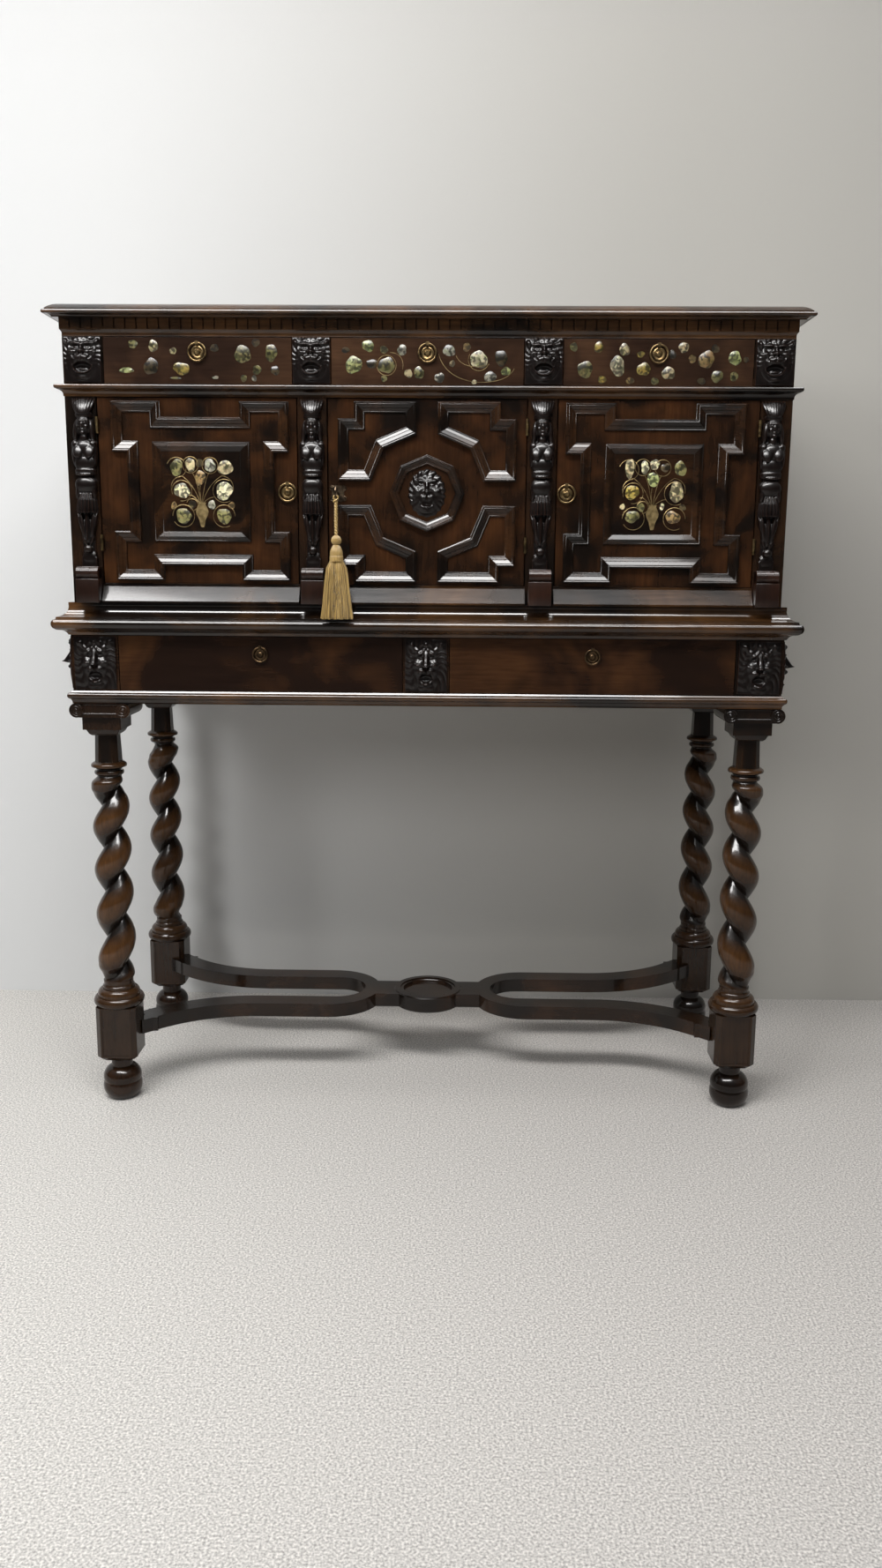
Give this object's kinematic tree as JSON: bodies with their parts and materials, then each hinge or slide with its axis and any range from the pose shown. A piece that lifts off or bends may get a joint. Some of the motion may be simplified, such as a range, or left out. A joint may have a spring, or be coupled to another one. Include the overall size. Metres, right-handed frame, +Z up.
{
  "type": "cabinet on stand",
  "caption": "Carved dark wood cabinet with doors and drawers on a stand with barley-twist legs, a curved stretcher, ring pulls and a tasselled key.",
  "frame": {"origin": "on the floor, under the middle of the piece's box without the tassel and cord", "axes": "+Z up, +X to the right seen from the front, +Y from the front to the back"},
  "size_m": [1.258, 0.517, 1.3725],
  "materials": {
    "dark_wood": "French polished",
    "brass": "aged, rubbed",
    "shell": "polished pearl",
    "gold_silk": "silky thread"
  },
  "bodies": {
    "cabinet": {"leg_front_left": "dark_wood", "leg_front_right": "dark_wood", "leg_rear_left": "dark_wood", "leg_rear_right": "dark_wood", "leg_capitals": "dark_wood", "bun_feet": "dark_wood", "stretcher_centre": "dark_wood", "stretcher_arms": "dark_wood", "stand_rails": "dark_wood", "stand_front_posts": "dark_wood", "stand_bottom_moulding": "dark_wood", "stand_top_moulding": "dark_wood", "stand_top_board": "dark_wood", "stand_drawer_runners": "dark_wood", "lion_masks": "dark_wood", "cabinet_sides": "dark_wood", "cabinet_back": "dark_wood", "cabinet_shelves": "dark_wood", "cabinet_dividers": "dark_wood", "cabinet_top": "dark_wood", "cornice": "dark_wood", "waist_moulding": "dark_wood", "base_moulding": "dark_wood", "pilasters": "dark_wood", "caryatids": "dark_wood", "hinge_fixed_leaves": "brass"},
    "frieze_drawer_left": {"frieze_drawer_left": "dark_wood", "frieze_drawer_left_pull_plate": "brass"},
    "frieze_drawer_left_ring": {"frieze_drawer_left_ring": "brass"},
    "frieze_drawer_centre": {"frieze_drawer_centre": "dark_wood", "frieze_drawer_centre_pull_plate": "brass"},
    "frieze_drawer_centre_ring": {"frieze_drawer_centre_ring": "brass"},
    "frieze_drawer_right": {"frieze_drawer_right": "dark_wood", "frieze_drawer_right_pull_plate": "brass"},
    "frieze_drawer_right_ring": {"frieze_drawer_right_ring": "brass"},
    "stand_drawer_left": {"stand_drawer_left": "dark_wood", "stand_drawer_left_pull_plate": "brass"},
    "stand_drawer_left_ring": {"stand_drawer_left_ring": "brass"},
    "stand_drawer_right": {"stand_drawer_right": "dark_wood", "stand_drawer_right_pull_plate": "brass"},
    "stand_drawer_right_ring": {"stand_drawer_right_ring": "brass"},
    "left_door": {"left_door": "dark_wood", "left_door_mouldings": "dark_wood", "left_door_hinge_leaves": "brass", "left_door_pull_plate": "brass"},
    "right_door": {"right_door": "dark_wood", "right_door_mouldings": "dark_wood", "right_door_hinge_leaves": "brass", "right_door_pull_plate": "brass"},
    "centre_door": {"centre_door": "dark_wood", "centre_door_mouldings": "dark_wood", "centre_door_hinge_leaves": "brass", "centre_door_mask": "dark_wood", "lock": "brass"},
    "left_door_ring": {"left_door_ring": "brass"},
    "right_door_ring": {"right_door_ring": "brass"},
    "key": {"key": "brass"},
    "lock_bolt": {"lock_bolt": "brass"},
    "tassel": {"tassel_cord": "gold_silk", "tassel": "gold_silk"}
  },
  "joints": [
    {"name": "frieze_drawer_left_slide", "type": "slide", "parent": "cabinet", "child": "frieze_drawer_left", "axis": [0, -1, 0], "range_m": [0, 0.28]},
    {"name": "frieze_drawer_left_ring_swing", "type": "hinge", "parent": "frieze_drawer_left", "child": "frieze_drawer_left_ring", "pos_m": [-0.37162, -0.214, 1.3145], "axis": [-1, 0, 0], "range_deg": [0, 90]},
    {"name": "frieze_drawer_centre_slide", "type": "slide", "parent": "cabinet", "child": "frieze_drawer_centre", "axis": [0, -1, 0], "range_m": [0, 0.28]},
    {"name": "frieze_drawer_centre_ring_swing", "type": "hinge", "parent": "frieze_drawer_centre", "child": "frieze_drawer_centre_ring", "pos_m": [0, -0.214, 1.3145], "axis": [-1, 0, 0], "range_deg": [0, 90]},
    {"name": "frieze_drawer_right_slide", "type": "slide", "parent": "cabinet", "child": "frieze_drawer_right", "axis": [0, -1, 0], "range_m": [0, 0.28]},
    {"name": "frieze_drawer_right_ring_swing", "type": "hinge", "parent": "frieze_drawer_right", "child": "frieze_drawer_right_ring", "pos_m": [0.37162, -0.214, 1.3145], "axis": [-1, 0, 0], "range_deg": [0, 90]},
    {"name": "stand_drawer_left_slide", "type": "slide", "parent": "cabinet", "child": "stand_drawer_left", "axis": [0, -1, 0], "range_m": [0, 0.28]},
    {"name": "stand_drawer_left_ring_swing", "type": "hinge", "parent": "stand_drawer_left", "child": "stand_drawer_left_ring", "pos_m": [-0.279, -0.218, 0.827], "axis": [-1, 0, 0], "range_deg": [0, 90]},
    {"name": "stand_drawer_right_slide", "type": "slide", "parent": "cabinet", "child": "stand_drawer_right", "axis": [0, -1, 0], "range_m": [0, 0.28]},
    {"name": "stand_drawer_right_ring_swing", "type": "hinge", "parent": "stand_drawer_right", "child": "stand_drawer_right_ring", "pos_m": [0.279, -0.218, 0.827], "axis": [-1, 0, 0], "range_deg": [0, 90]},
    {"name": "left_door_swing", "type": "hinge", "parent": "cabinet", "child": "left_door", "pos_m": [-0.5387, -0.2138, 1.081], "axis": [0, 0, -1], "range_deg": [0, 90]},
    {"name": "right_door_swing", "type": "hinge", "parent": "cabinet", "child": "right_door", "pos_m": [0.5387, -0.2138, 1.081], "axis": [0, 0, 1], "range_deg": [0, 90]},
    {"name": "centre_door_swing", "type": "hinge", "parent": "cabinet", "child": "centre_door", "pos_m": [0.1627, -0.2138, 1.081], "axis": [0, 0, 1], "range_deg": [0, 90]},
    {"name": "left_door_ring_swing", "type": "hinge", "parent": "left_door", "child": "left_door_ring", "pos_m": [-0.229, -0.213, 1.095], "axis": [-1, 0, 0], "range_deg": [0, 90]},
    {"name": "right_door_ring_swing", "type": "hinge", "parent": "right_door", "child": "right_door_ring", "pos_m": [0.229, -0.213, 1.095], "axis": [-1, 0, 0], "range_deg": [0, 90]},
    {"name": "key_turn", "type": "hinge", "parent": "centre_door", "child": "key", "pos_m": [-0.146, -0.209, 1.08], "axis": [0, -1, 0], "range_deg": [0, 90]},
    {"name": "lock_bolt_slide", "type": "slide", "parent": "centre_door", "child": "lock_bolt", "axis": [-1, 0, 0], "range_m": [0, 0.008]},
    {"name": "tassel_swing", "type": "hinge", "parent": "key", "child": "tassel", "pos_m": [-0.146, -0.247, 1.0716], "axis": [0, -1, 0], "range_deg": [-90, 0]}
  ],
  "couplings": [
    {"joint": "lock_bolt_slide", "follows": "key_turn", "m_per_rad": 0.005093},
    {"joint": "tassel_swing", "follows": "key_turn", "ratio": -1}
  ]
}
